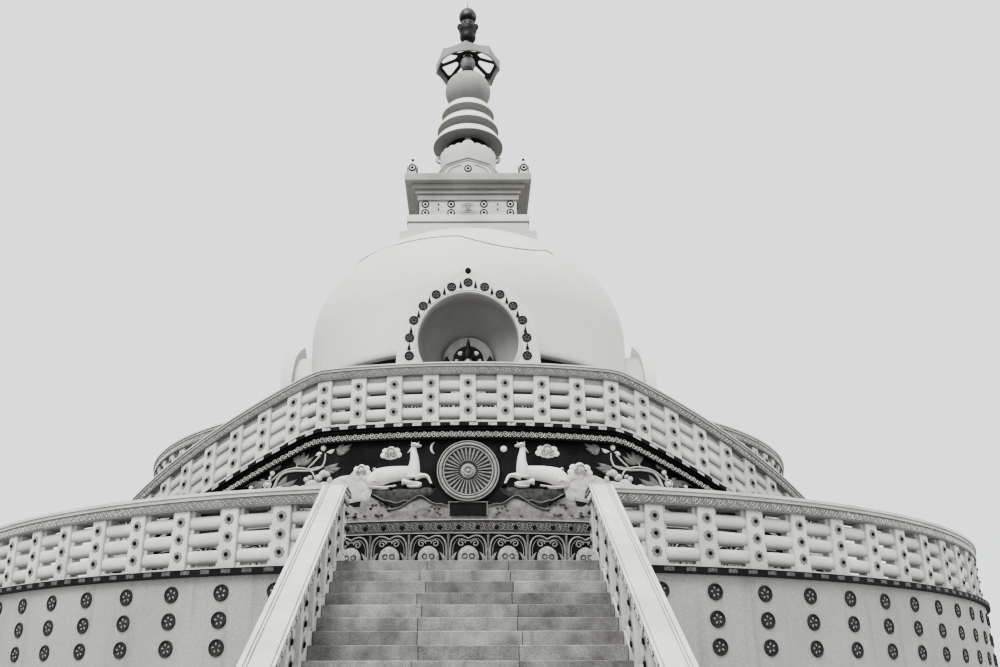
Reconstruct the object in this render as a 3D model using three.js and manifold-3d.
// A white domed stupa on two round terraces, with a straight front stair,
// two curved side stairs, open railings, four niches, a square harmika and a spire.
// Millimetres, +Z up. The origin is on the ground under the axis, and the front faces -Y.
// Azimuths are in degrees round the axis: 0 is the front, and they grow towards +X.

import * as THREE from 'three';
import { mergeVertices } from 'three/addons/utils/BufferGeometryUtils.js';
import Module from 'manifold-3d';

const wasm = await Module();
wasm.setup();
const { Manifold, Mesh: ManifoldMesh } = wasm;

// Driving dimensions

const GAP = 0.3;                 // joint between pieces that are cut to each other
const ROUND_SIDES = 72;          // sides of every full circle of masonry

const DRUM_R = 12200;            // wall of the lower drum
const DECK_R = 12280;            // tiled edge of the lower deck
const DECK_Z = 3640;             // lower deck, above the ground
const DECK_EDGE = 100;           // height of a deck's tiled edge

const UPPER_WALL_R = 8460;
const UPPER_DECK_R = 8480;
const UPPER_DECK_Z = 6270;
const LANDING_Z = 6470;          // head of the side stairs, a step above the upper deck
const LANDING_INNER_R = 8487;
const RELIEF_INNER_R = 9300;
const RELIEF_R = 9550;           // carved face of the landing wall
const LANDING_HALF = 16.64;      // half width of the level landing
const FLIGHT_END = 57.95;        // foot of the curved flights
const FLIGHT_RISERS = 17;
const CORNICE_H = 230;           // border, recess and tiles on top of the relief wall
const CORNICE_R = 9700;
const SLOPE_JOINT = 8;           // mortar joint between the twisted faces of sloping courses

const POST_W = 300;
const POST_H = 900;
const FRIEZE_H = 160;
const COPING_H = 60;
const PARAPET_T = 260;
const BEAM_OVER = 30;            // overhang of the frieze and coping on both sides of the posts
const RAIL_T = 190;
const RAILS = [87, 825];         // foot and head of the three stacked rails, above the deck

const RISER = DECK_Z / 21;
const GOING = 271;
const STAIR_TOP_Y = 12490;       // nosing of the top step, in front of the axis
const STAIR_HALF = 1784;
const STAIR_WALL_T = 230;
const STAIR_SLOPE = RISER / GOING;
const COPING_BEND_Y = 12200;     // where the stair coping leaves the level of the deck's coping
const STAIR_POST_H = 740;
const STAIR_FRIEZE_H = 155;
const NEWEL = 320;               // square post at the foot of each stair wall

const WHEEL_Z = 5616;
const WHEEL_R = 550;
const WHEEL_PROUD = 90;
const DEER_FOOT_Z = 5340;
const DEER_AZIMUTH = 8;
const DEER_PROUD = 90;

const DOME_R = 4600;
const DOME_EDGE_Z = 9800;        // lower edge of the white dome
const DOME_WIDE_Z = 11590;       // height of the dome's greatest width
const DOME_RISE = 3380;

const NICHE_FRONT = 5210;        // front plane of a niche frame, from the axis
const NICHE_R = 1170;
const NICHE_Z = 9820;            // centre of the round opening
const NICHE_FLOOR = 8500;
const NICHE_DEPTH = 1250;
const FRAME_HALF = 1650;         // half width and peak of the pointed front plate
const FRAME_PEAK = 11750;
const PORCH_HALF = 1450;         // the same of the porch behind it
const PORCH_PEAK = 11340;
const FIGURE_IN = 650;           // axis of the seated figure, behind the front plane
const HALO_R = 625;
const HALO_Z = 9700;

const BASE_HALF = 1980;          // foot of the harmika
const BASE_Z = 14250;
const TOP_HALF = 1885;
const TOP_Z = 16650;
const CORE_HALF = 1767;
const LEDGE_HALF = 1797;
const BODY_HALF = 1460;
const GABLE_Z = 17330;

const BOWL_TOP = 18760;          // levels where the turned pieces of the spire meet
const DISC_TOPS = [19350, 19950, 20400];
const GLOBE_R = 750;
const GLOBE_TOP = 21620;
const PARASOL_R = 1080;          // corners of the eight-sided hoop
const PARASOL_Z = 21800;
const HOOP_H = 400;
const CUP_Z = 23120;
const BALL_R = 320;
const BALL_Z = 24140;

const DOME_SIDES = 40;
const SPIRE_SIDES = 24;

// Materials

const paint = (name, color, roughness, metalness = 0) => {
  const material = new THREE.MeshStandardMaterial({ color, roughness, metalness });
  material.name = name;
  return material;
};
const limewash = paint('limewash', 0xe9e7e1, 0.85);
const plaster = paint('dome plaster', 0xf1efe9, 0.8);
const slab = paint('stair stone', 0x9a9891, 0.9);
const relief = paint('painted relief', 0x2e3c55, 0.75);
const carved = paint('carved figures', 0xded9cc, 0.75);
const timber = paint('dark board', 0x2a2420, 0.7);
const bronze = paint('dark bronze', 0x4a3f33, 0.45, 0.8);

const stupa = new THREE.Group();

// Closed geometry and its solid

function closedGeometry(geometry) {
  // Shared corners are merged, faces without area go, and the faces point outwards.
  const bare = geometry.clone();
  bare.deleteAttribute('normal');
  bare.deleteAttribute('uv');
  const merged = mergeVertices(bare, 0.01);
  const position = merged.attributes.position.array;
  const index = merged.index.array;
  const kept = [];
  let volume = 0;
  const corner = (i) => new THREE.Vector3(position[3 * i], position[3 * i + 1], position[3 * i + 2]);
  for (let i = 0; i < index.length; i += 3) {
    const [a, b, c] = [index[i], index[i + 1], index[i + 2]];
    if (a === b || b === c || c === a) continue;
    kept.push(a, b, c);
    volume += corner(a).dot(corner(b).cross(corner(c)));
  }
  if (volume < 0) kept.reverse();
  return { position, kept };
}

function solid(geometry) {
  const { position, kept } = closedGeometry(geometry);
  return new Manifold(new ManifoldMesh({
    numProp: 3,
    vertProperties: new Float32Array(position),
    triVerts: new Uint32Array(kept),
  }));
}

const join = (...parts) => parts.flat().reduce((sum, part) => sum.add(part));

function moved(shape, matrix) {
  // The same solid after a three.js matrix; a mirrored one gets its faces turned round again.
  const { vertProperties, triVerts } = shape.getMesh();
  const position = new THREE.BufferAttribute(new Float32Array(vertProperties), 3).applyMatrix4(matrix);
  const triangles = new Uint32Array(triVerts);
  if (matrix.determinant() < 0) triangles.reverse();
  return new Manifold(new ManifoldMesh({
    numProp: 3,
    vertProperties: position.array,
    triVerts: triangles,
  }));
}

const shifted = (shape, x, y, z) => moved(shape, new THREE.Matrix4().makeTranslation(x, y, z));
const stretched = (shape, x, y, z) => moved(shape, new THREE.Matrix4().makeScale(x, y, z));
const turnedBy = (shape, turn) => moved(shape, new THREE.Matrix4().makeRotationZ(turn * Math.PI / 180));

function addMesh(name, shape, material) {
  const { vertProperties, triVerts } = shape.getMesh();
  const geometry = new THREE.BufferGeometry();
  geometry.setAttribute('position', new THREE.BufferAttribute(new Float32Array(vertProperties), 3));
  geometry.setIndex(new THREE.BufferAttribute(new Uint32Array(triVerts), 1));
  const mesh = new THREE.Mesh(geometry, material);
  mesh.name = name;
  stupa.add(mesh);
  return mesh;
}

// Shapes

const radians = (degrees) => degrees * Math.PI / 180;
const degrees = (angle) => angle * 180 / Math.PI;

function turned(profile, sides = ROUND_SIDES) {
  // profile: [radius, height] pairs, going up; the solid of revolution round the Z axis.
  const points = profile.map(([r, z]) => new THREE.Vector2(r, z));
  return solid(new THREE.LatheGeometry(points, sides).rotateX(Math.PI / 2));
}

const disc = (r, z0, z1, sides) => turned([[0, z0], [r, z0], [r, z1], [0, z1]], sides);

function box(x0, x1, y0, y1, z0, z1) {
  const geometry = new THREE.BoxGeometry(x1 - x0, y1 - y0, z1 - z0);
  return solid(geometry.translate((x0 + x1) / 2, (y0 + y1) / 2, (z0 + z1) / 2));
}

const squareBlock = (half, z0, z1) => box(-half, half, -half, half, z0, z1);

function upright(outline, y0, y1) {
  // outline: [x, z] pairs of a standing plate between the planes y0 and y1.
  const shape = new THREE.Shape(outline.map(([x, z]) => new THREE.Vector2(x, z)));
  const geometry = new THREE.ExtrudeGeometry(shape, { depth: y1 - y0, bevelEnabled: false });
  return solid(geometry.rotateX(Math.PI / 2).translate(0, y1, 0));
}

function loft(sections) {
  // sections: rings of THREE.Vector3 with the same number of corners, joined in turn and capped.
  const count = sections[0].length;
  const position = [];
  for (const section of sections) for (const p of section) position.push(p.x, p.y, p.z);
  const index = [];
  for (let s = 0; s + 1 < sections.length; s += 1) {
    for (let k = 0; k < count; k += 1) {
      const [a, b] = [s * count + k, s * count + (k + 1) % count];
      index.push(a, b, b + count, a, b + count, a + count);
    }
  }
  const [p0, p1] = [sections[0][0], sections[0][1]];
  const normal = new THREE.Vector3();
  sections[0].forEach((p, k) => normal.add(p.clone().cross(sections[0][(k + 1) % count])));
  const across = p1.clone().sub(p0).normalize();
  const upward = normal.clone().normalize().cross(across);
  const flat = sections[0].map((p) => new THREE.Vector2(p.dot(across), p.dot(upward)));
  const last = (sections.length - 1) * count;
  for (const [a, b, c] of THREE.ShapeUtils.triangulateShape(flat, [])) {
    index.push(a, c, b, last + a, last + b, last + c);
  }
  const geometry = new THREE.BufferGeometry();
  geometry.setAttribute('position', new THREE.Float32BufferAttribute(position, 3));
  geometry.setIndex(index);
  return solid(geometry);
}

// Paths: each gives the point at the parapet's front face, its outward direction and its base height

function ringPath(radius, baseAt) {
  return (azimuth) => {
    const angle = radians(azimuth);
    const outward = new THREE.Vector3(Math.sin(angle), -Math.cos(angle), 0);
    return { origin: outward.clone().multiplyScalar(radius).setZ(baseAt(azimuth)), outward };
  };
}

function section(path, at, profile) {
  // profile: [outwards, upwards] pairs measured from the path.
  const { origin, outward } = path(at);
  return profile.map(([d, h]) => origin.clone().addScaledVector(outward, d).add(new THREE.Vector3(0, 0, h)));
}

const sweep = (path, stations, profile) => loft(stations.map((at) => section(path, at, profile)));

const rectangle = (d0, d1, h0, h1) => [[d0, h0], [d1, h0], [d1, h1], [d0, h1]];

function range(first, last, count) {
  return Array.from({ length: count + 1 }, (_, i) => first + (last - first) * i / count);
}

function railing(path, from, to, posts, halfPost, size = {}) {
  // Posts under a beam, with the stack of rails between them clear of the deck and of the beam.
  const { postH = POST_H, friezeH = FRIEZE_H, rails = RAILS, thick = PARAPET_T,
    over = BEAM_OVER, bends = [] } = size;
  const stations = [from, ...posts, ...bends, to].sort((a, b) => a - b);
  const beam = sweep(path, stations, rectangle(-thick - over, over, postH, postH + friezeH + COPING_H));
  const inset = (thick - RAIL_T) / 2;
  const stack = sweep(path, stations, rectangle(inset - thick, -inset, rails[0], rails[1]));
  const uprights = posts.map((at) => sweep(path, [at - halfPost, at + halfPost],
    rectangle(-thick, 0, 0, postH + friezeH / 4)));
  return join(beam, stack, uprights);
}

// Lower drum and its deck

addMesh('lower_drum', disc(DRUM_R, 0, DECK_Z - DECK_EDGE), limewash);
addMesh('lower_deck', disc(DECK_R, DECK_Z - DECK_EDGE, DECK_Z), limewash);
const grown = (r) => r + GAP / Math.cos(Math.PI / ROUND_SIDES);
const drumSpace = join(disc(grown(DRUM_R), -10, DECK_Z - DECK_EDGE + 5),
  disc(grown(DECK_R), DECK_Z - DECK_EDGE - GAP, DECK_Z));

// Front stair: one flight against the drum

const stairFootY = STAIR_TOP_Y + 20 * GOING;
const stepOutline = [];
for (let step = 0; step < 21; step += 1) {
  const y = stairFootY - step * GOING;
  stepOutline.push([y, step * RISER], [y, (step + 1) * RISER]);
}
stepOutline.push([DRUM_R * 0.97, DECK_Z], [DRUM_R * 0.97, 0]);

function alongY(outline, x0, x1) {
  // outline: [distance in front of the axis, z] pairs, extruded from x0 to x1.
  const shape = new THREE.Shape(outline.map(([y, z]) => new THREE.Vector2(-y, z)));
  const geometry = new THREE.ExtrudeGeometry(shape, { depth: x1 - x0, bevelEnabled: false });
  return solid(geometry.rotateX(Math.PI / 2).rotateZ(Math.PI / 2).translate(x0, 0, 0));
}
addMesh('front_stair', alongY(stepOutline, -STAIR_HALF, STAIR_HALF).subtract(drumSpace), slab);

// Stair walls with their sloping railings and end posts

const stairParapetH = STAIR_POST_H + STAIR_FRIEZE_H + COPING_H;
const levelBase = DECK_Z + POST_H + FRIEZE_H + COPING_H - stairParapetH;
const stairBase = (y) => levelBase - STAIR_SLOPE * Math.max(0, y - COPING_BEND_Y);
const newelY = stairFootY + 60;

function stairParapet(side) {
  const inner = STAIR_HALF + GAP;
  const front = side > 0 ? inner : -inner - STAIR_WALL_T;
  const path = (y) => ({
    origin: new THREE.Vector3(side * (inner + STAIR_WALL_T), -y, stairBase(y)),
    outward: new THREE.Vector3(side, 0, 0),
  });
  const head = 11700;
  const wall = alongY([[head, DECK_Z - GAP], [newelY, 0], [newelY, stairBase(newelY)],
    [COPING_BEND_Y, levelBase], [head, levelBase]].toSpliced(1, 0, [DRUM_R * 0.97, 0]), front,
  front + STAIR_WALL_T).subtract(drumSpace);
  const posts = range(12520, newelY - 520, 7);
  const rail = railing(path, head, newelY, [head + 150, ...posts], POST_W / 2, {
    postH: STAIR_POST_H, friezeH: STAIR_FRIEZE_H, rails: [55, 690], thick: STAIR_WALL_T,
    over: 22, bends: [COPING_BEND_Y],
  });
  const centre = side * (inner + STAIR_WALL_T / 2);
  const newelTop = stairBase(newelY) + stairParapetH + 120;
  const newel = box(centre - NEWEL / 2, centre + NEWEL / 2, -newelY - NEWEL, -newelY + 10, 0, newelTop);
  const cap = box(centre - NEWEL / 2 - 30, centre + NEWEL / 2 + 30, -newelY - NEWEL - 30, -newelY + 40,
    newelTop, newelTop + 70);
  return join(wall, rail, newel, cap);
}
addMesh('stair_parapet_right', stairParapet(1), limewash);
addMesh('stair_parapet_left', stairParapet(-1), limewash);

// Railing round the lower deck, in four lengths

const lowerPath = ringPath(DRUM_R - 40, () => DECK_Z);
const LOWER_FIRST = 12.9;
const lowerPosts = range(LOWER_FIRST, 360 - LOWER_FIRST, 84);
const lowerHalfPost = degrees(POST_W / 2 / (DRUM_R - 40));
const stairSlot = box(-STAIR_HALF - STAIR_WALL_T - 30, STAIR_HALF + STAIR_WALL_T + 30,
  -13000, 0, DECK_Z - 10, DECK_Z + 2000);

function ringLengths(name, path, posts, halfPost, from, to, count, finish = (shape) => shape) {
  const seam = degrees(GAP / 8000);
  const perLength = (posts.length - 1) / count;
  for (let i = 0; i < count; i += 1) {
    const first = i === 0 ? 0 : Math.round(i * perLength);
    const last = i === count - 1 ? posts.length : Math.round((i + 1) * perLength);
    const start = i === 0 ? from : posts[first] - halfPost;
    const end = i === count - 1 ? to : posts[last] - halfPost - seam;
    const shape = railing(path, start, end, posts.slice(first, last), halfPost);
    addMesh(`${name}_${i + 1}`, finish(shape), limewash);
  }
}
ringLengths('lower_railing', lowerPath, lowerPosts, lowerHalfPost, 9, 351, 4,
  (shape) => shape.subtract(stairSlot));

// Upper drum and deck

addMesh('upper_drum', disc(UPPER_WALL_R, DECK_Z, UPPER_DECK_Z - DECK_EDGE), limewash);
addMesh('upper_deck', disc(UPPER_DECK_R, UPPER_DECK_Z - DECK_EDGE, UPPER_DECK_Z), limewash);

// Landing and the two curved flights

const flightRise = (LANDING_Z - DECK_Z) / FLIGHT_RISERS;
const flightTread = (FLIGHT_END - LANDING_HALF) / FLIGHT_RISERS;
const floorAt = (azimuth) => LANDING_Z
  - Math.max(0, Math.abs(azimuth) - LANDING_HALF) * flightRise / flightTread;
const innerPath = ringPath(LANDING_INNER_R, () => 0);
const landingWidth = RELIEF_INNER_R - 10 - LANDING_INNER_R;   // clear of the wall's flat sides
const landingStations = range(-LANDING_HALF, LANDING_HALF, 8);

addMesh('landing', sweep(innerPath, landingStations, rectangle(0, landingWidth, DECK_Z, LANDING_Z)), slab);

function curvedFlight(side) {
  const seam = degrees(GAP / LANDING_INNER_R);
  const steps = [];
  for (let step = 1; step < FLIGHT_RISERS; step += 1) {
    const from = LANDING_HALF + (step - 1) * flightTread + (step === 1 ? seam : 0);
    const to = LANDING_HALF + step * flightTread;
    const top = LANDING_Z - step * flightRise;
    steps.push(sweep(innerPath, [side * from, side * to], rectangle(0, landingWidth, DECK_Z, top)));
  }
  return join(steps);
}
addMesh('side_stair_right', curvedFlight(1), slab);
addMesh('side_stair_left', curvedFlight(-1), slab);

// Carved wall outside the landing and flights, with its cornice

const wallEnd = LANDING_HALF + (LANDING_Z - CORNICE_H - DECK_Z) / (flightRise / flightTread) - 0.3;
const flightStations = range(LANDING_HALF, wallEnd, 10);
const wallStations = [...flightStations.map((a) => -a).reverse(), ...landingStations.slice(1, -1),
  ...flightStations];

function wallSection(azimuth) {
  const sloping = Math.abs(azimuth) > LANDING_HALF + 0.01;
  const top = floorAt(azimuth) - CORNICE_H - (sloping ? SLOPE_JOINT : 0);
  return section(ringPath(0, () => 0), azimuth, rectangle(RELIEF_INNER_R, RELIEF_R, DECK_Z, top));
}
const reliefWall = loft(wallStations.map(wallSection));
addMesh('relief_wall', reliefWall, relief);

function corniceSection(azimuth) {
  // Below the flight's last steps the cornice dies into the deck.
  const floor = floorAt(azimuth);
  const bottom = Math.max(DECK_Z, floor - CORNICE_H);
  const level = (share) => bottom + (floor - bottom) * share;
  return section(ringPath(0, () => 0), azimuth, [[RELIEF_INNER_R, level(0)], [RELIEF_R + 80, level(0)],
    [RELIEF_R + 80, level(0.65)], [CORNICE_R, level(0.72)], [CORNICE_R, level(1)],
    [RELIEF_INNER_R, level(1)]]);
}
const corniceStations = [-57.4, -wallEnd - 0.3, ...wallStations, wallEnd + 0.3, 57.4];
addMesh('relief_cornice', loft(corniceStations.map(corniceSection)), limewash);

// Railings of the landing and of the curved flights

const outerPath = ringPath(CORNICE_R, floorAt);
const outerHalfPost = degrees(POST_W / 2 / CORNICE_R);
const LANDING_PITCH = 3.93;
const landingPosts = range(-4 * LANDING_PITCH, 4 * LANDING_PITCH, 8);
addMesh('landing_railing', railing(outerPath, -LANDING_HALF, LANDING_HALF, landingPosts, outerHalfPost),
  limewash);

const flightPosts = range(19.35, 56.35, 10);
const slopingPath = ringPath(CORNICE_R, (azimuth) => floorAt(azimuth) + SLOPE_JOINT);
const flightRailing = railing(slopingPath, LANDING_HALF + degrees(GAP / CORNICE_R),
  flightPosts.at(-1) + outerHalfPost, flightPosts, outerHalfPost);
addMesh('flight_railing_right', flightRailing, limewash);
addMesh('flight_railing_left', stretched(flightRailing, -1, 1, 1), limewash);

// Railing round the upper deck, open at the landing

const UPPER_POST_R = 8420;
const upperPath = ringPath(UPPER_POST_R, () => UPPER_DECK_Z);
const upperHalfPost = degrees(POST_W / 2 / UPPER_POST_R);
const UPPER_FIRST = 18.6;
const upperPosts = range(UPPER_FIRST, 360 - UPPER_FIRST, 64);
ringLengths('upper_railing', upperPath, upperPosts, upperHalfPost, UPPER_FIRST - upperHalfPost,
  360 - UPPER_FIRST + upperHalfPost, 4);

// Carvings on the front of the landing wall

function againstWall(shape) {
  // The back is cut to the wall's flat faces, a joint clear of them.
  const grow = 1 + GAP / RELIEF_R;
  return shape.subtract(stretched(reliefWall, grow, grow, 1));
}

const wheelDisc = (r, back, front) => solid(new THREE.CylinderGeometry(r, r, front - back, 28)
  .translate(0, -RELIEF_R - (back + front) / 2, WHEEL_Z));
const wheel = wheelDisc(WHEEL_R, -30, WHEEL_PROUD).subtract(wheelDisc(WHEEL_R * 0.8, 50, 200));
addMesh('dharma_wheel', againstWall(join(wheel, wheelDisc(95, 20, WHEEL_PROUD + 20))), carved);
addMesh('wheel_board', againstWall(box(-305, 305, -RELIEF_R - 60, -RELIEF_R + 10, 4830, 5048)), timber);

// Lying deer seen from the side, facing +X, in millimetres from the middle of its foot line
const deerOutline = [[-560, 0], [-60, 0], [40, 60], [130, 20], [400, 0], [430, 70], [270, 110], [420, 250],
  [560, 130], [610, 20], [680, 60], [590, 260], [470, 340], [350, 350], [390, 550], [380, 660],
  [470, 770], [430, 810], [330, 830], [300, 885], [270, 790], [190, 690], [240, 670], [230, 440],
  [100, 400], [-300, 410], [-450, 370], [-540, 400], [-560, 340], [-620, 200], [-620, 60]];

const deerPlate = upright(deerOutline, -RELIEF_R - DEER_PROUD, -RELIEF_R + 60);
const deer = againstWall(turnedBy(shifted(deerPlate, 0, 0, DEER_FOOT_Z), -DEER_AZIMUTH));
addMesh('deer_right', stretched(deer, -1, 1, 1), carved);
addMesh('deer_left', deer, carved);

// Drum under the dome, and the dome

addMesh('dome_drum', turned([[0, UPPER_DECK_Z], [5000, UPPER_DECK_Z], [5000, 6670], [4800, 6670],
  [4800, 6970], [4450, 6970], [4450, DOME_EDGE_Z], [0, DOME_EDGE_Z]], DOME_SIDES)
  .subtract(nicheSpaces()), limewash);

const domeProfile = [[0, DOME_EDGE_Z], [DOME_R, DOME_EDGE_Z], [DOME_R, DOME_WIDE_Z]];
for (const t of range(0, 90, 8).slice(1)) {
  domeProfile.push([DOME_R * Math.cos(radians(t)), DOME_WIDE_Z + DOME_RISE * Math.sin(radians(t))]);
}
domeProfile[domeProfile.length - 1][0] = 0;
const harmikaSeat = squareBlock(BASE_HALF + GAP, BASE_Z, BASE_Z + 2000);
addMesh('dome', turned(domeProfile, DOME_SIDES).subtract(harmikaSeat).subtract(nicheSpaces()), plaster);

// Niches: a frame and its porch in one block, with the hollow cut into it

function archOutline(halfWidth, springZ, peakZ, footZ, grow = 0) {
  // A pointed arch: two arcs that meet in a short point over a rectangle.
  const outline = [[-halfWidth - grow, footZ], [halfWidth + grow, footZ]];
  const rise = peakZ - springZ;
  for (const t of range(0, 80, 6)) {
    const a = radians(t);
    outline.push([(halfWidth + grow) * Math.cos(a), springZ + (rise * 0.9 + grow) * Math.sin(a)]);
  }
  outline.push([0, peakZ + grow]);
  return [...outline, ...outline.slice(2, -1).reverse().map(([x, z]) => [-x, z])];
}

function nicheBlock(grow = 0) {
  const back = 3600;
  const foot = UPPER_DECK_Z - (grow ? 10 : 0);
  const plate = upright(archOutline(FRAME_HALF, NICHE_Z, FRAME_PEAK, foot, grow), -NICHE_FRONT - grow,
    -4900 + grow);
  const porch = upright(archOutline(PORCH_HALF, NICHE_Z, PORCH_PEAK, foot, grow), -4950, -back + grow);
  return join(plate, porch);
}

function nicheSpaces() {
  // The room that the four niche blocks take out of the drum and the dome.
  const space = nicheBlock(GAP);
  return join([0, 90, 180, 270].map((turn) => turnedBy(space, turn)));
}

const openingOutline = [[-950, NICHE_FLOOR], [950, NICHE_FLOOR]];
for (const t of range(-35, 215, 20)) {
  openingOutline.push([NICHE_R * Math.cos(radians(t)), NICHE_Z + NICHE_R * Math.sin(radians(t))]);
}
const hollow = upright(openingOutline, -NICHE_FRONT - 100, -NICHE_FRONT + NICHE_DEPTH);
const niche = nicheBlock().subtract(hollow);

const seated = turned([[0, NICHE_FLOOR], [450, NICHE_FLOOR], [450, 8740], [400, 8870], [230, 9000], [250, 9220],
  [90, 9330], [125, 9440], [130, 9560], [100, 9680], [55, 9860], [25, 10100], [0, 10150]], 10);
const halo = solid(new THREE.CylinderGeometry(HALO_R, HALO_R, 60, 16).translate(0, 310, HALO_Z));
const haloStem = box(-60, 60, 40, 300, 9050, 9400);
const figure = shifted(join(seated, halo, haloStem), 0, -NICHE_FRONT + FIGURE_IN, 0);

['front', 'right', 'back', 'left'].forEach((name, i) => {
  addMesh(`niche_${name}`, niche, plaster).rotation.z = radians(90 * i);
  addMesh(`figure_${name}`, figure, bronze).rotation.z = radians(90 * i);
});

// Harmika: foot, body and stepped cornice, with pediments and corner ornaments

addMesh('harmika_foot', join(squareBlock(BASE_HALF, BASE_Z, 14650), squareBlock(CORE_HALF, 14650, 15020),
  squareBlock(LEDGE_HALF - 60, 15020, 15060), squareBlock(LEDGE_HALF, 15060, 15290)), limewash);
addMesh('harmika_body', squareBlock(BODY_HALF, 15290, 15945), limewash);

const corniceSteps = [[1520, 15945, 16135], [1584, 16135, 16270], [1694, 16270, 16410],
  [TOP_HALF, 16410, TOP_Z]].map(([half, z0, z1]) => squareBlock(half, z0, z1));

const pediment = upright([[-810, TOP_Z], [810, TOP_Z], [700, 16870], [530, 17090], [0, GABLE_Z],
  [-530, 17090], [-700, 16870]], -1700, -1420);
const cornerPost = box(-150, 150, -150, 150, TOP_Z, 17000).add(
  turned([[0, 16900], [110, 16900], [110, 17080], [50, 17130], [60, 17190], [0, 17250]], 8));
const crowning = [0, 90, 180, 270].flatMap((turn) => [
  turnedBy(pediment, turn), turnedBy(shifted(cornerPost, 1670, -1670, 0), turn)]);
addMesh('harmika_cornice', join(corniceSteps, crowning), limewash);

// Spire: lotus bowl, three discs, globe, parasol and finial

addMesh('lotus_bowl', turned([[0, TOP_Z], [780, TOP_Z], [800, 17200], [870, 17860], [960, 18300], [1000, 18640],
  [880, BOWL_TOP], [0, BOWL_TOP]], SPIRE_SIDES), plaster);

function spireDisc(name, radius, from, to, neckR) {
  // A flat underside, a broad edge that leans in, and the neck under the next piece.
  addMesh(name, turned([[0, from], [radius * 0.6, from], [radius, from + 10], [radius - 120, from + 280],
    [neckR, from + 300], [neckR, to], [0, to]], SPIRE_SIDES), plaster);
}
spireDisc('disc_lower', 1130, BOWL_TOP, DISC_TOPS[0], 600);
spireDisc('disc_middle', 1000, DISC_TOPS[0], DISC_TOPS[1], 520);
spireDisc('disc_upper', 860, DISC_TOPS[1], DISC_TOPS[2], 430);

addMesh('globe', turned([[0, DISC_TOPS[2]], [430, DISC_TOPS[2]], [600, 20570], [705, 20760], [GLOBE_R, 20980],
  [715, 21200], [600, 21400], [450, 21540], [330, GLOBE_TOP], [0, GLOBE_TOP]], SPIRE_SIDES), plaster);

// Skirt, knob and hub of the parasol in one turned piece, then eight straps out to the corners of the hoop
const shaft = turned([[0, GLOBE_TOP], [330, GLOBE_TOP], [190, 21850], [170, 21930], [240, 22050], [250, 22180],
  [200, 22340], [420, 22300], [420, 22345], [200, 22480], [130, 22600], [110, CUP_Z], [0, CUP_Z]], 16);
const hoop = turned([[PARASOL_R - 60, PARASOL_Z], [PARASOL_R, PARASOL_Z], [PARASOL_R, PARASOL_Z + HOOP_H],
  [PARASOL_R - 60, PARASOL_Z + HOOP_H], [PARASOL_R - 60, PARASOL_Z]], 8);
const straps = range(0, 315, 7).map((turn) => {
  const { outward } = ringPath(0, () => 0)(turn);
  const aside = new THREE.Vector3(-outward.y, outward.x, 0);
  const quad = (r, z) => [[-60, 0], [60, 0], [60, 45], [-60, 45]].map(([t, h]) => aside.clone()
    .multiplyScalar(t).addScaledVector(outward, r).setZ(z + h));
  return loft([quad(380, 22300), quad(640, 22165), quad(PARASOL_R - 30, 22090)]);
});
addMesh('parasol', join(shaft, hoop, straps), plaster);

addMesh('finial_cup', turned([[0, CUP_Z], [230, CUP_Z], [250, 23200], [200, 23260], [300, 23380], [370, 23560],
  [340, 23880], [0, 23880]], 16), bronze);
const ballProfile = [[0, 23880]];
for (const t of range(-54, 90, 6)) {
  ballProfile.push([BALL_R * Math.cos(radians(t)), BALL_Z + BALL_R * Math.sin(radians(t))]);
}
ballProfile[1][1] = 23880;
ballProfile[ballProfile.length - 1] = [0, BALL_Z + BALL_R];
addMesh('finial_ball', turned(ballProfile, 16).subtract(disc(40, 24440, 24500, 8)), bronze);
addMesh('lightning_rod', turned([[0, 24440.3], [25, 24440.3], [12, 24780], [0, 24780]], 8), bronze);

export default stupa;
